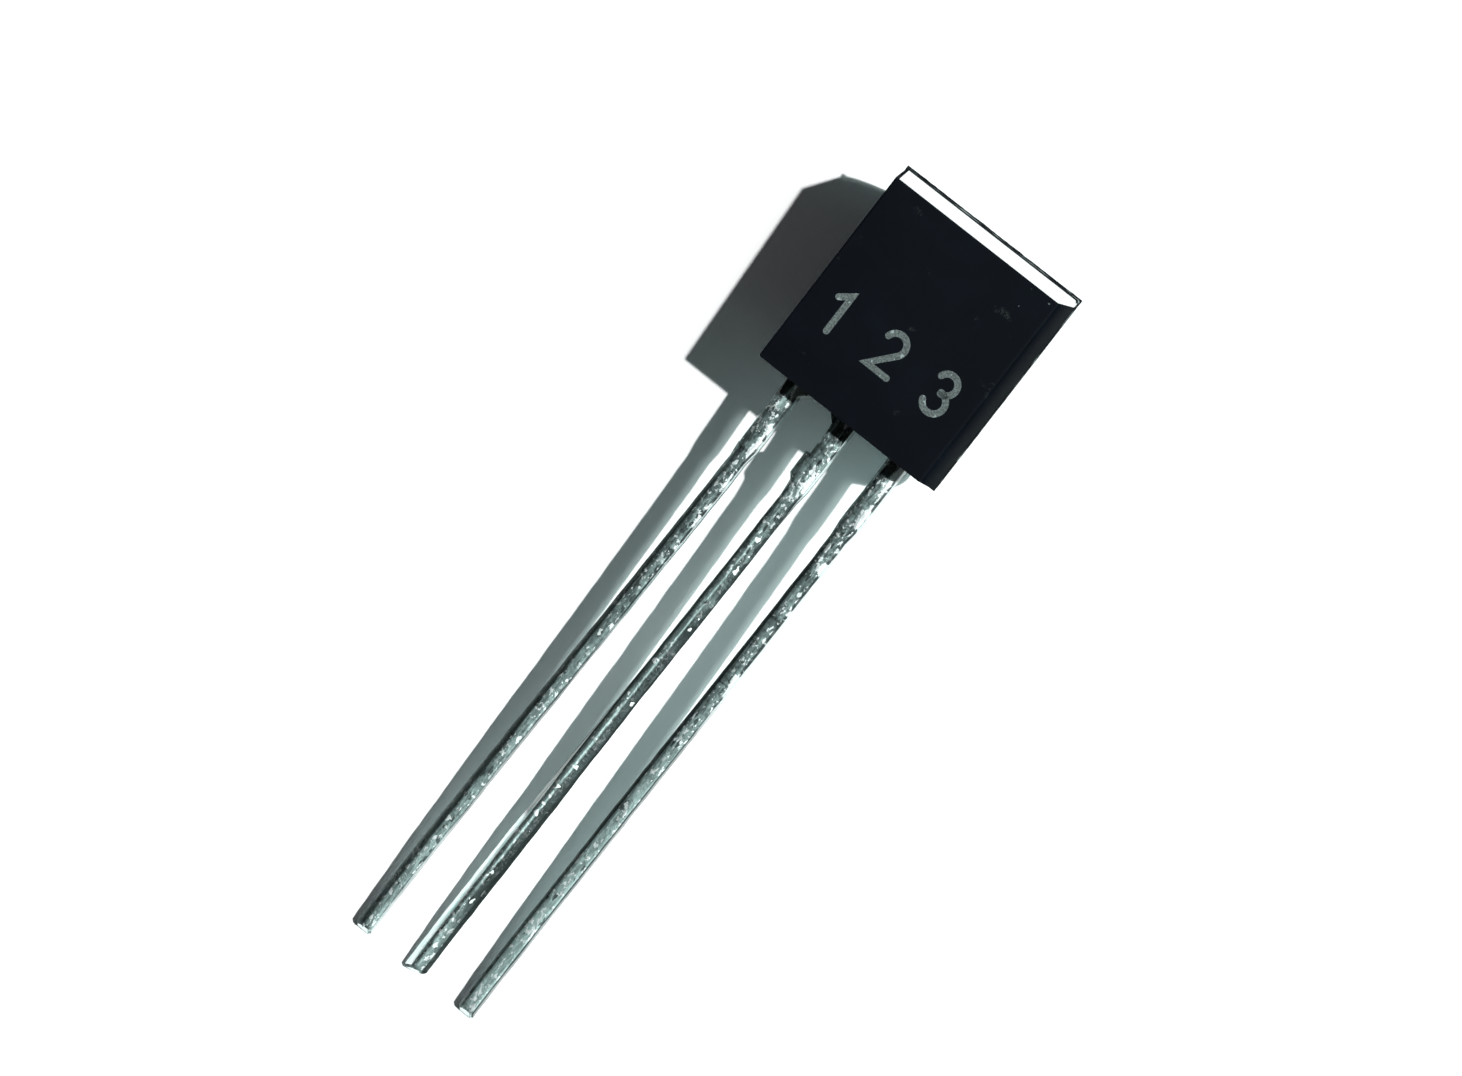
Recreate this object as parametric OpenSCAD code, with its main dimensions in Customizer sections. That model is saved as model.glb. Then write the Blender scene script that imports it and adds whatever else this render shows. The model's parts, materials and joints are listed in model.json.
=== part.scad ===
// Three-lead transistor in a small moulded case with one flat face.
//
// The pieces are drawn in the case's own directions: X runs across the three
// leads, Y runs along them with the lead tips at -Y, and Z points out of the
// flat face. The lead plane is Z = 0 and the lead end of the case is Y = 0.
// at_rest() then lays the finished pieces down as the part comes to rest: on
// the round back at its lead end and on the three lead tips, flat face up.

/* [Case] */
// Width of the case across its parting line
case_w = 4.3; // [3.9:0.05:5.2]
// Length of the case along the leads, at its parting line
case_len = 4.65; // [4.4:0.05:5.4]
// Depth from the lead plane to the flat face
front_depth = 1.27; // [1.1:0.01:1.6]
// Radius of the case's corners at the parting line, seen from the front
corner_r = 0.15; // [0.05:0.05:0.4]
// Radius of the two long edges of the flat face
flat_edge_r = 0.08; // [0.02:0.02:0.16]
// Draft of the front half's two side walls, in degrees
side_draft = 7; // [2:1:9]
// Slope of the front half's wall at the closed end, in degrees
top_slope = 12; // [3:1:20]
// Draft of the front half's wall at the lead end, in degrees
lead_end_draft = 1.5; // [1:0.5:6]
// Draft of the round back's two end walls, in degrees
back_draft = 6; // [2:1:9]

/* [Moulding marks] */
// How far the flash stands out along the parting line
flash_w = 0.05; // [0.02:0.01:0.08]
// Thickness of the flash
flash_t = 0.05; // [0.03:0.01:0.1]
// Diameter of the ejector pin's mark in the round back
ejector_d = 1.5; // [1:0.1:1.8]
// Depth of the ejector pin's mark, from the crown of the back
ejector_depth = 0.18; // [0.16:0.02:0.3]

/* [Leads] */
// Distance between the centre lines of two neighbouring leads
pitch = 1.27; // [1.2:0.01:1.4]
// Thickness of the lead frame
lead_t = 0.38; // [0.3:0.02:0.5]
// Width of a lead along its slender part
lead_w = 0.36; // [0.3:0.02:0.42]
// Width of a lead's root, next to the case
root_w = 0.43; // [0.42:0.01:0.55]
// Length of a lead outside the case
lead_len = 13.9; // [10:0.1:16]
// Length of the wide root outside the case
root_len = 1.6; // [1:0.1:2.4]
// Length over which the root narrows to the slender part
taper_len = 0.3; // [0.1:0.05:0.6]
// Size of the cut corners at a lead's tip
tip_cut = 0.05; // [0.02:0.01:0.1]
// How far a root's shoulder spreads sideways where it enters the case
shoulder_w = 0.2; // [0.1:0.02:0.26]
// How far the stub of the cut dam bar stands out of the base lead
dam_stub = 0.09; // [0.04:0.01:0.2]
// Height of the cut dam bar
dam_h = 0.55; // [0.3:0.05:0.7]
// Distance from the case to the middle of the dam bar
dam_drop = 1.2; // [0.9:0.05:1.3]

/* [Lead frame inside the case] */
// Width of the anchor lugs that keep the leads from pulling out
lug_w = 0.72; // [0.6:0.02:0.8]
// Height of the anchor lugs
lug_h = 0.25; // [0.15:0.05:0.35]
// Distance from the case's lead end to the anchor lugs
lug_drop = 0.35; // [0.25:0.05:0.45]
// Width of the two bond posts
post_w = 0.8; // [0.7:0.02:0.9]
// Height of the base lead's bond post
base_post_h = 0.5; // [0.4:0.05:0.6]
// Height of the emitter lead's bond post
emitter_post_h = 0.85; // [0.6:0.05:1]
// Gap between the chip pad and the other leads
frame_gap = 0.27; // [0.15:0.01:0.3]
// Resin between the chip pad and the case's closed end
pad_cover = 0.7; // [0.5:0.05:0.9]
// Diameter of the resin lock hole in the chip pad
lock_hole_d = 0.6; // [0.4:0.05:0.7]

/* [Chip and bond wires] */
// Side of the square chip
chip_w = 0.5; // [0.4:0.02:0.56]
// Thickness of the chip
chip_t = 0.2; // [0.15:0.01:0.25]
// Distance from the chip pad's lower edge to the chip's centre
chip_rise = 0.65; // [0.55:0.05:0.75]
// How far the die attach shows around the chip
attach_rim = 0.04; // [0.02:0.01:0.06]
// Thickness of the die attach
attach_t = 0.03; // [0.02:0.01:0.05]
// Diameter of a bond wire
wire_d = 0.05; // [0.04:0.005:0.06]
// Height of a wire's loop above the line between its two ends
wire_loop = 0.35; // [0.25:0.05:0.45]
// Diameter of the ball at the chip end of a wire
ball_d = 0.11; // [0.1:0.01:0.14]
// Height of the ball and of the flattened end on the post
bond_h = 0.035; // [0.035:0.005:0.05]
// Diameter of the flattened end on the post
stitch_d = 0.13; // [0.1:0.01:0.16]

/* [Hidden] */

ROUND_FN = 96;
SMALL_FN = 32;
SHARED_LEN = 0.1;
SPAN = 4 * case_w;

CASE_COLOR = [0.07, 0.086, 0.11];
LEAD_COLOR = [0.66, 0.69, 0.69];
CHIP_COLOR = [0.36, 0.38, 0.42];
ATTACH_COLOR = [0.72, 0.72, 0.7];
WIRE_COLOR = [0.86, 0.68, 0.3];

// Case: how far its walls lean in by the time they reach the flat or the crown
back_r = case_w / 2;
side_inset = front_depth * tan(side_draft);
top_inset = front_depth * tan(top_slope);
lead_end_inset = front_depth * tan(lead_end_draft);
back_inset = back_r * tan(back_draft);
flat_w = case_w - 2 * side_inset;

// Lead frame: heights along Y and edges along X inside the case
post_y = lug_drop + lug_h + frame_gap;
base_post_top = post_y + base_post_h;
pad_y0 = base_post_top + frame_gap;
pad_y1 = case_len - pad_cover;
pad_x0 = -pitch + post_w / 2 + frame_gap;
pad_x1 = pitch + root_w / 2;
pad_mid_x = (pad_x0 + pad_x1) / 2;
emitter_post_y = pad_y0;
lock_hole_y = pad_y1 - lock_hole_d / 2 - frame_gap;

// The 45 degree shoulder on the right side of a root, up to its anchor lug
shoulder_x = root_w / 2 + shoulder_w;
shoulder_outline = [[0, -shoulder_w], [root_w / 2, -shoulder_w], [shoulder_x, 0],
                    [shoulder_x, lug_drop + lug_h], [0, lug_drop + lug_h]];

// Chip stack
frame_top = lead_t / 2;
chip_z0 = frame_top + attach_t;
chip_top = chip_z0 + chip_t;
chip_y = pad_y0 + chip_rise;
bond_inset = chip_w / 4;

// The rest position: both contact lines stand at the same height
rim_y = back_inset;
rim_z = -back_r;
tip_y = -lead_len;
tip_z = -lead_t / 2;
rest_tilt = atan2(tip_z - rim_z, rim_y - tip_y);
rest_lift = -(rim_y * sin(rest_tilt) + rim_z * cos(rest_tilt));
far_y = max((case_len - back_inset) * cos(rest_tilt) + back_r * sin(rest_tilt),
            (case_len + flash_w) * cos(rest_tilt) + flash_t / 2 * sin(rest_tilt));
near_y = tip_y * cos(rest_tilt) + tip_z * sin(rest_tilt);
rest_shift = -(far_y + near_y) / 2;

// The same outline on the other side of X = 0, its points in the same turn
function mirrored(points) =
    [for (i = [len(points) - 1 : -1 : 0]) [-points[i][0], points[i][1]]];

module at_rest()
    translate([0, rest_shift, rest_lift]) rotate([rest_tilt, 0, 0]) children();

// A rectangle with round corners, from y0 to y1, centred on X = 0
module round_rectangle(w, y0, y1, r) {
    translate([-w / 2 + r, y0]) square([w - 2 * r, y1 - y0]);
    translate([-w / 2, y0 + r]) square([w, y1 - y0 - 2 * r]);
    for (x = [-w / 2 + r, w / 2 - r], y = [y0 + r, y1 - r])
        translate([x, y]) circle(r = r, $fn = ROUND_FN);
}

// The case's cross-section: X across, Y here is the depth towards the flat
module case_section() {
    edge_x = flat_w / 2 - flat_edge_r * tan(45 - side_draft / 2);
    edge_y = front_depth - flat_edge_r;
    wall_x = edge_x + flat_edge_r * cos(side_draft);
    wall_y = edge_y + flat_edge_r * sin(side_draft);
    difference() {
        circle(r = back_r, $fn = ROUND_FN);
        translate([-SPAN / 2, 0]) square([SPAN, SPAN]);
    }
    polygon([[-back_r, 0], [back_r, 0], [wall_x, wall_y], [edge_x, edge_y],
             [edge_x, front_depth], [-edge_x, front_depth],
             [-edge_x, edge_y], [-wall_x, wall_y]]);
    for (side = [-1, 1])
        translate([side * edge_x, edge_y]) circle(r = flat_edge_r, $fn = ROUND_FN);
}

// The case seen from the side: X here runs along the leads, Y is the depth
module case_side()
    polygon([[0, 0], [lead_end_inset, front_depth],
             [case_len - top_inset, front_depth], [case_len, 0],
             [case_len - back_inset, -back_r], [back_inset, -back_r]]);

module case_shell() {
    intersection() {
        rotate([90, 0, 0]) translate([0, 0, -SPAN / 2])
            linear_extrude(SPAN) case_section();
        rotate([90, 0, 90]) translate([0, 0, -SPAN / 2])
            linear_extrude(SPAN) case_side();
        translate([0, 0, -SPAN / 2]) linear_extrude(SPAN)
            round_rectangle(case_w, 0, case_len, corner_r);
    }
    translate([0, 0, -flash_t / 2]) linear_extrude(flash_t)
        round_rectangle(case_w + 2 * flash_w, -flash_w, case_len + flash_w, corner_r + flash_w);
}

module ejector_mark()
    translate([0, case_len / 2, -back_r - SPAN + ejector_depth])
        cylinder(d = ejector_d, h = SPAN, $fn = ROUND_FN);

// One lead outside the case: slender part, tapered root and cut tip corners
module lead_outline() {
    polygon([[-lead_w / 2, -root_len - taper_len], [-lead_w / 2, tip_y + tip_cut],
             [-lead_w / 2 + tip_cut, tip_y], [lead_w / 2 - tip_cut, tip_y],
             [lead_w / 2, tip_y + tip_cut], [lead_w / 2, -root_len - taper_len],
             [root_w / 2, -root_len], [root_w / 2, lug_drop],
             [-root_w / 2, lug_drop], [-root_w / 2, -root_len]]);
}

// What the trimming die left of the dam bar on the left side of a root
module dam_remnant()
    translate([-root_w / 2 - dam_stub, -dam_drop - dam_h / 2])
        square([root_w / 2 + dam_stub, dam_h]);

module anchor_lug()
    translate([-lug_w / 2, lug_drop]) square([lug_w, lug_h]);

module stem(top)
    translate([-root_w / 2, lug_drop]) square([root_w, top - lug_drop]);

module bond_post(y, h)
    translate([-post_w / 2, y]) square([post_w, h]);

module frame_sheet()
    translate([0, 0, -lead_t / 2]) linear_extrude(lead_t) children();

module emitter_frame()
    frame_sheet() translate([-pitch, 0]) {
        lead_outline();
        polygon(shoulder_outline);
        anchor_lug();
        stem(emitter_post_y + SHARED_LEN);
        bond_post(emitter_post_y, emitter_post_h);
    }

module base_frame()
    frame_sheet() {
        lead_outline();
        polygon(mirrored(shoulder_outline));
        dam_remnant();
        anchor_lug();
        stem(post_y + SHARED_LEN);
        bond_post(post_y, base_post_h);
    }

module collector_frame()
    frame_sheet() difference() {
        union() {
            translate([pitch, 0]) {
                lead_outline();
                anchor_lug();
                stem(pad_y0 + SHARED_LEN);
            }
            translate([pad_x0, pad_y0]) square([pad_x1 - pad_x0, pad_y1 - pad_y0]);
        }
        translate([pad_mid_x, lock_hole_y]) circle(d = lock_hole_d, $fn = ROUND_FN);
    }

module die_attach_layer() {
    side = chip_w + 2 * attach_rim;
    translate([pad_mid_x - side / 2, chip_y - side / 2, frame_top])
        cube([side, side, attach_t]);
}

module chip_block()
    translate([pad_mid_x - chip_w / 2, chip_y - chip_w / 2, chip_z0])
        cube([chip_w, chip_w, chip_t]);

// A wire from a ball on the chip at start to a flattened end on a post at end
module bond_wire(start, end) {
    run = norm([end[0] - start[0], end[1] - start[1]]);
    drop = start[2] - end[2];
    chord = norm([run, drop]);
    arc_r = (chord * chord / 4 + wire_loop * wire_loop) / (2 * wire_loop);
    half_angle = asin(chord / 2 / arc_r);
    heading = atan2(end[1] - start[1], end[0] - start[0]);
    translate(start) cylinder(d = ball_d, h = bond_h, $fn = SMALL_FN);
    translate(end) cylinder(d = stitch_d, h = bond_h, $fn = SMALL_FN);
    translate([start[0], start[1], start[2] + bond_h])
        rotate([0, 0, heading]) rotate([0, atan2(drop, run), 0])
            translate([chord / 2, 0, wire_loop - arc_r]) rotate([90, 0, 0])
                rotate([0, 0, 90 - half_angle])
                    rotate_extrude(angle = 2 * half_angle, $fn = ROUND_FN)
                        translate([arc_r, 0]) circle(d = wire_d, $fn = SMALL_FN);
}

module emitter_wire()
    bond_wire([pad_mid_x - bond_inset, chip_y, chip_top],
              [-pitch, emitter_post_y + emitter_post_h / 2, frame_top]);

module base_wire()
    bond_wire([pad_mid_x, chip_y - bond_inset, chip_top],
              [0, post_y + base_post_h / 2, frame_top]);

module moulded_case() {
    color(CASE_COLOR) at_rest() difference() {
        case_shell();
        ejector_mark();
        emitter_frame();
        base_frame();
        collector_frame();
        die_attach_layer();
        chip_block();
        emitter_wire();
        base_wire();
    }
}

module emitter_lead() {
    color(LEAD_COLOR) at_rest() emitter_frame();
}

module base_lead() {
    color(LEAD_COLOR) at_rest() base_frame();
}

module collector_lead() {
    color(LEAD_COLOR) at_rest() collector_frame();
}

module chip() {
    color(CHIP_COLOR) at_rest() chip_block();
}

module die_attach() {
    color(ATTACH_COLOR) at_rest() die_attach_layer();
}

module emitter_bond_wire() {
    color(WIRE_COLOR) at_rest() emitter_wire();
}

module base_bond_wire() {
    color(WIRE_COLOR) at_rest() base_wire();
}

moulded_case();
emitter_lead();
base_lead();
collector_lead();
chip();
die_attach();
emitter_bond_wire();
base_bond_wire();
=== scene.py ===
import json
import math
from collections import namedtuple

import bmesh
import bpy
from bpy.props import FloatProperty, FloatVectorProperty, PointerProperty
from mathutils import Matrix, Vector, noise


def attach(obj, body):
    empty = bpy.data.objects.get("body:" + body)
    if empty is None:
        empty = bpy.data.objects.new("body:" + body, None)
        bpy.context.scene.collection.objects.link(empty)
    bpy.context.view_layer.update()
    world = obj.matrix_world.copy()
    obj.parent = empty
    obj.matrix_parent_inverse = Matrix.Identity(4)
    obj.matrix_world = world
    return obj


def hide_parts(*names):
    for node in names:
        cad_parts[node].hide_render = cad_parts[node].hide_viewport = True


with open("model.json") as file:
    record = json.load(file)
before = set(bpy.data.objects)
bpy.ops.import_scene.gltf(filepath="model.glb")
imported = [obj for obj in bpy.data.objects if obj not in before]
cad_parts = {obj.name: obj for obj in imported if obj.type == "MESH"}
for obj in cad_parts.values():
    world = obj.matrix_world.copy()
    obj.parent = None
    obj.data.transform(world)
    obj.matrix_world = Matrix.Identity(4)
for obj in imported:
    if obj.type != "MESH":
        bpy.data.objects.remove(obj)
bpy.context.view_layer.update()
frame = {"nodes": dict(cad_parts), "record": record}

bl_info = {
    "name": "Three-lead transistor",
    "version": (1, 0, 0),
    "blender": (4, 5, 0),
    "location": "View3D > Sidebar > Transistor",
    "description": "Dresses the packed transistor: moulded case, tinned leads, marks and stage",
    "category": "Object",
}

# Meshes are shaped in millimetres in the case's own directions: X across the
# leads, Y from the lead end of the case to its closed end, Z out of the flat.
MM = 1000.0
MOUNTS = {mount["name"]: mount for mount in frame["record"]["mounts"]}
OUT_OF_FLAT = Vector(MOUNTS["flat_face"]["axis"])
ALONG_CASE = -Vector(MOUNTS["base_lead_end"]["axis"])
REST_TILT = math.atan2(ALONG_CASE.z, ALONG_CASE.y)

# Smooth shading stops at edges sharper than this
SHARP_EDGE = math.radians(35)
# The case's parting line is a slighter edge than that, and still a crisp one
PARTING_EDGE = math.radians(16)
# A face looks along an axis when its normal's part along it is more than this
SQUARE_ON = 0.9
# Points nearer than these are one point, or lie in one plane, in millimetres
WELD = 1e-4
LEVEL = 0.01


# Sizes and colours that a user may change, and what those of one kind share
LENGTH = {"unit": "LENGTH", "precision": 5}
ANGLE = {"subtype": "ANGLE"}
TINT = {"subtype": "COLOR", "size": 3}
HEADING = {"subtype": "DIRECTION", "size": 3}


class CaseSizes(bpy.types.PropertyGroup):
    """The moulded case"""
    width: FloatProperty(
        name="Width", description="Width across the parting line", default=0.0043, **LENGTH)
    length: FloatProperty(name="Length", description="Length along the leads", default=0.00465, **LENGTH)
    front_depth: FloatProperty(
        name="Front depth", description="From the lead plane to the flat face", default=0.00127, **LENGTH)
    side_draft: FloatProperty(
        name="Side draft", description="Lean of the two side walls", default=math.radians(7), **ANGLE)
    top_slope: FloatProperty(
        name="Closed end slope", description="Lean of the front half's closed end",
        default=math.radians(12), **ANGLE)
    lead_end_draft: FloatProperty(
        name="Lead end draft", description="Lean of the front half's lead end",
        default=math.radians(1.5), **ANGLE)
    back_draft: FloatProperty(
        name="Back draft", description="Lean of the round back's two ends",
        default=math.radians(6), **ANGLE)
    edge_radius: FloatProperty(
        name="Edge radius", description="Radius of the case's outer edges", default=0.00005, **LENGTH)
    polish_run: FloatProperty(
        name="Polish run", description="How far the closed end's polish runs onto the right side wall",
        default=0.00017, **LENGTH)
    polish_start: FloatProperty(
        name="Polish start", description="Height over the parting line at which the polish starts",
        default=0.00024, **LENGTH)
    dark_corner: FloatProperty(
        name="Dark corner", description="Width of the unpolished edge at the left of the closed end",
        default=0.00007, **LENGTH)
    flash_width: FloatProperty(
        name="Flash width", description="How far the flash stands out of the parting line",
        default=0.00005, **LENGTH)
    flash_thickness: FloatProperty(
        name="Flash thickness", description="Thickness of the flash", default=0.00005, **LENGTH)
    ejector_width: FloatProperty(
        name="Ejector mark", description="Diameter of the ejector pin's mark in the back",
        default=0.0015, **LENGTH)
    ejector_depth: FloatProperty(
        name="Ejector depth", description="Depth of the ejector pin's mark", default=0.00018, **LENGTH)


class LeadSizes(bpy.types.PropertyGroup):
    """The stamped lead frame"""
    pitch: FloatProperty(
        name="Pitch", description="Distance between neighbouring leads", default=0.00127, **LENGTH)
    thickness: FloatProperty(
        name="Thickness", description="Thickness of the lead frame", default=0.00038, **LENGTH)
    width: FloatProperty(name="Width", description="Width of the slender part", default=0.00036, **LENGTH)
    root_width: FloatProperty(
        name="Root width", description="Width of the root next to the case", default=0.00043, **LENGTH)
    length: FloatProperty(name="Length", description="Length outside the case", default=0.0139, **LENGTH)
    root_length: FloatProperty(
        name="Root length", description="Length of the wide root", default=0.0016, **LENGTH)
    edge_radius: FloatProperty(
        name="Edge radius", description="Radius of a lead's long edges", default=0.00005, **LENGTH)
    rolled_radius: FloatProperty(
        name="Rolled edge radius", description="Radius of the edge that the stamping tool rolls over",
        default=0.0001, **LENGTH)
    cut_slant: FloatProperty(
        name="Cut slant", description="Slant of the sheared lead tips", default=math.radians(22), **ANGLE)
    tip_twist: FloatProperty(
        name="Tip twist", description="How far the middle lead's tip is turned about its length",
        default=math.radians(36), **ANGLE)
    sideways: FloatProperty(
        name="Sideways bend", description="How far handling has bent the lead tips towards the emitter side",
        default=0.00016, **LENGTH)


class MarkSizes(bpy.types.PropertyGroup):
    """The pin numbers on the flat face"""
    height: FloatProperty(name="Height", description="Height of a digit", default=0.0009, **LENGTH)
    stroke: FloatProperty(
        name="Stroke", description="Width of a digit's strokes", default=0.000135, **LENGTH)
    rise: FloatProperty(
        name="Rise", description="From the lead end of the flat to the digits' middle",
        default=0.00163, **LENGTH)
    relief: FloatProperty(
        name="Relief", description="How far the marks stand out of the flat",
        default=0.000004, unit="LENGTH", precision=6)


class Finishes(bpy.types.PropertyGroup):
    """Base colours of the materials"""
    resin: FloatVectorProperty(
        name="Resin", description="Moulded epoxy", default=(0.0036, 0.0049, 0.0076), **TINT)
    tin: FloatVectorProperty(name="Tin", description="Tin plating", default=(0.3, 0.4, 0.388), **TINT)
    # Bright tin of worn patches, also used for painted highlights and glints on the leads
    bright_tin_and_highlight: FloatVectorProperty(
        name="Bright tin", description="Grains and worn patches of the plating",
        default=(0.87, 0.95, 0.94), **TINT)
    mark: FloatVectorProperty(name="Marks", description="Pin numbers", default=(0.13, 0.155, 0.152), **TINT)
    gold: FloatVectorProperty(name="Gold", description="Bond wires", default=(0.83, 0.62, 0.24), **TINT)
    silicon: FloatVectorProperty(name="Silicon", description="Chip", default=(0.12, 0.14, 0.18), **TINT)
    paste: FloatVectorProperty(
        name="Silver paste", description="Die attach", default=(0.6, 0.6, 0.58), **TINT)
    floor: FloatVectorProperty(name="Floor", description="Stage floor", default=(0.98, 0.98, 0.98), **TINT)
    skirt: FloatVectorProperty(
        name="Skirt light", description="Tint of the softer light beside the key",
        default=(0.8, 1.0, 0.97), **TINT)
    fill: FloatVectorProperty(
        name="Fill light", description="Tint of the even soft light", default=(0.92, 0.97, 1.0), **TINT)
    side: FloatVectorProperty(
        name="Side light", description="Tint of the soft light from the side",
        default=(0.54, 1.0, 0.96), **TINT)


class StageSizes(bpy.types.PropertyGroup):
    """Camera, lights and floor"""
    camera_lens: FloatProperty(name="Lens", description="Focal length in millimetres", default=135.0)
    camera_distance: FloatProperty(
        name="Camera distance", description="From the aim point to the camera",
        default=0.10739, unit="LENGTH")
    camera_side: FloatProperty(
        name="Camera to the side", description="Lean of the view towards the collector side",
        default=math.radians(9.0), **ANGLE)
    camera_fore: FloatProperty(
        name="Camera to the fore", description="Lean of the view towards the lead tips",
        default=math.radians(2.2), **ANGLE)
    camera_roll: FloatProperty(
        name="Camera roll", description="Turn of the camera about its line of sight",
        default=math.radians(38.97), **ANGLE)
    camera_aim: FloatVectorProperty(
        name="Camera aim", description="Point in the middle of the picture",
        default=(-0.000459, 0.001398, 0.0015), size=3, subtype="TRANSLATION")
    key_direction: FloatVectorProperty(
        name="Key direction", description="From the part towards the key light",
        default=(0.515, 0.229, 1.0), **HEADING)
    key_strength: FloatProperty(name="Key strength", description="Strength of the key light", default=2.95)
    key_softness: FloatProperty(
        name="Key softness", description="How wide the key light looks from the part",
        default=math.radians(1.1), **ANGLE)
    skirt_drop: FloatProperty(
        name="Skirt drop", description="How much lower than the key the softer light beside it stands",
        default=math.radians(3.2), **ANGLE)
    skirt_strength: FloatProperty(
        name="Skirt strength", description="Strength of the softer light beside the key", default=0.8)
    skirt_softness: FloatProperty(
        name="Skirt softness", description="How wide the softer light beside the key looks from the part",
        default=math.radians(5.0), **ANGLE)
    fill_strength: FloatProperty(
        name="Fill strength", description="Strength of the even soft light", default=0.044)
    side_strength: FloatProperty(
        name="Side light strength", description="Strength of the soft light from the side", default=1.42)
    side_direction: FloatVectorProperty(
        name="Side light direction", description="From the part towards the soft light at the side",
        default=(0.85, 0.1, 0.34), **HEADING)
    floor_gain: FloatProperty(
        name="Floor gain", description="How much paler the floor is to the camera than to the part",
        default=1.14)
    overhead: FloatProperty(
        name="Overhead", description="Brightness of the dark room that gloss shows", default=0.05)
    window: FloatProperty(
        name="Window", description="Brightness that gloss shows beside the key", default=0.7)


PROPERTY_GROUPS = {
    "tr_case": CaseSizes,
    "tr_leads": LeadSizes,
    "tr_marks": MarkSizes,
    "tr_finishes": Finishes,
    "tr_stage": StageSizes,
}


# Mesh helpers

def case_origin():
    """World place of the middle of the case's lead end, in the lead plane"""
    lead_end = Vector(MOUNTS["base_lead_end"]["pos_m"])
    return lead_end + ALONG_CASE * bpy.context.scene.tr_leads.length


def rest_place():
    """Turns case directions in millimetres into the part's rest place in metres"""
    turn = Matrix((Vector((1, 0, 0)), ALONG_CASE, OUT_OF_FLAT)).transposed().to_4x4()
    return Matrix.Translation(case_origin()) @ turn @ Matrix.Scale(1 / MM, 4)


def ramp(value, start, end):
    """0 at start, 1 at end, and smooth between them"""
    t = min(max((value - start) / (end - start), 0.0), 1.0)
    return t * t * (3 - 2 * t)


def outline_face(bm, points):
    """One flat face in the lead plane through a short list of corners"""
    return bm.faces.new([bm.verts.new((x, y, 0)) for x, y in points])


def new_corners(made):
    """The vertices among what an extrusion made"""
    return [item for item in made["geom"] if isinstance(item, bmesh.types.BMVert)]


def raise_faces(bm, faces, height):
    """Extrude flat faces upwards into a closed solid"""
    made = bmesh.ops.extrude_face_region(bm, geom=faces, use_keep_orig=True)
    bmesh.ops.translate(bm, verts=new_corners(made), vec=(0, 0, height))
    bmesh.ops.recalc_face_normals(bm, faces=bm.faces)


def cut_through(bm, point, normal):
    """Split everything along a plane"""
    bmesh.ops.bisect_plane(
        bm, geom=bm.verts[:] + bm.edges[:] + bm.faces[:], plane_co=point, plane_no=normal)


def round_edges(bm, edges, radius, segments):
    """Round a set of edges"""
    bmesh.ops.bevel(
        bm, geom=edges, offset=radius, offset_type="OFFSET", affect="EDGES",
        segments=segments, profile=0.5, material=-1)


def finish_piece(name, bm, materials, node=None, sharp=SHARP_EDGE):
    """Put a shaped mesh in its rest place and let it ride on the part"""
    bmesh.ops.recalc_face_normals(bm, faces=bm.faces)
    bm.transform(rest_place())
    mesh = bpy.data.meshes.new(name)
    bm.to_mesh(mesh)
    bm.free()
    mesh.shade_smooth()
    mesh.set_sharp_from_angle(angle=sharp)
    for material in materials:
        mesh.materials.append(material)
    piece = bpy.data.objects.new(name, mesh)
    bpy.context.scene.collection.objects.link(piece)
    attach(piece, "root")
    if node:
        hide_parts(node)
    return piece


# Material helpers

def new_material(name):
    """An empty node material and its tree"""
    material = bpy.data.materials.new(name)
    material.use_nodes = True
    material.node_tree.nodes.clear()
    return material, material.node_tree


def add(tree, kind, inputs=None, **options):
    """Add a node, set its options, and fill or link its inputs"""
    node = tree.nodes.new(kind)
    for option, value in options.items():
        setattr(node, option, value)
    for socket, value in (inputs or {}).items():
        if isinstance(value, bpy.types.NodeSocket):
            tree.links.new(value, node.inputs[socket])
        else:
            node.inputs[socket].default_value = value
    return node


def colour(rgb, gain=1.0):
    """A colour property as the four numbers of a socket"""
    return (rgb[0] * gain, rgb[1] * gain, rgb[2] * gain, 1.0)


def grey(level):
    """An even grey as the four numbers of a socket"""
    return (level, level, level, 1.0)


def mix(tree, factor, first, second):
    """Mix two colours"""
    return add(tree, "ShaderNodeMix", {0: factor, 6: first, 7: second}, data_type="RGBA").outputs[2]


def spread(tree, value, low, high, to_low=0.0, to_high=1.0):
    """Stretch a value from one range to another, and clamp it"""
    return add(tree, "ShaderNodeMapRange", {
        "Value": value, "From Min": low, "From Max": high, "To Min": to_low, "To Max": to_high,
    }).outputs["Result"]


def maths(tree, operation, *values):
    """A maths step on two values, or one after another on more"""
    made = values[0]
    for value in values[1:]:
        made = add(tree, "ShaderNodeMath", {0: made, 1: value}, operation=operation).outputs[0]
    return made


def plus(tree, *values):
    """The sum of some values"""
    return maths(tree, "ADD", *values)


def times(tree, *values):
    """The product of some values: of masks, where all of them are"""
    return maths(tree, "MULTIPLY", *values)


def most(tree, *values):
    """The largest of some values: of masks, where any of them is"""
    return maths(tree, "MAXIMUM", *values)


def part_coordinates(tree, stretch=(1.0, 1.0, 1.0)):
    """Object coordinates in the case's own directions, in millimetres from the middle of its lead end"""
    place = add(tree, "ShaderNodeTexCoord").outputs["Object"]
    middle = Matrix.Rotation(-REST_TILT, 3, "X") @ case_origin() * MM
    turned = add(tree, "ShaderNodeMapping", {
        "Vector": place, "Location": -middle, "Rotation": (-REST_TILT, 0, 0), "Scale": (MM, MM, MM),
    }).outputs["Vector"]
    return add(tree, "ShaderNodeMapping", {"Vector": turned, "Scale": stretch}).outputs["Vector"]


def part_axes(tree):
    """The part's own X, Y and Z, each as a value"""
    return add(tree, "ShaderNodeSeparateXYZ", {"Vector": part_coordinates(tree)}).outputs


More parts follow.
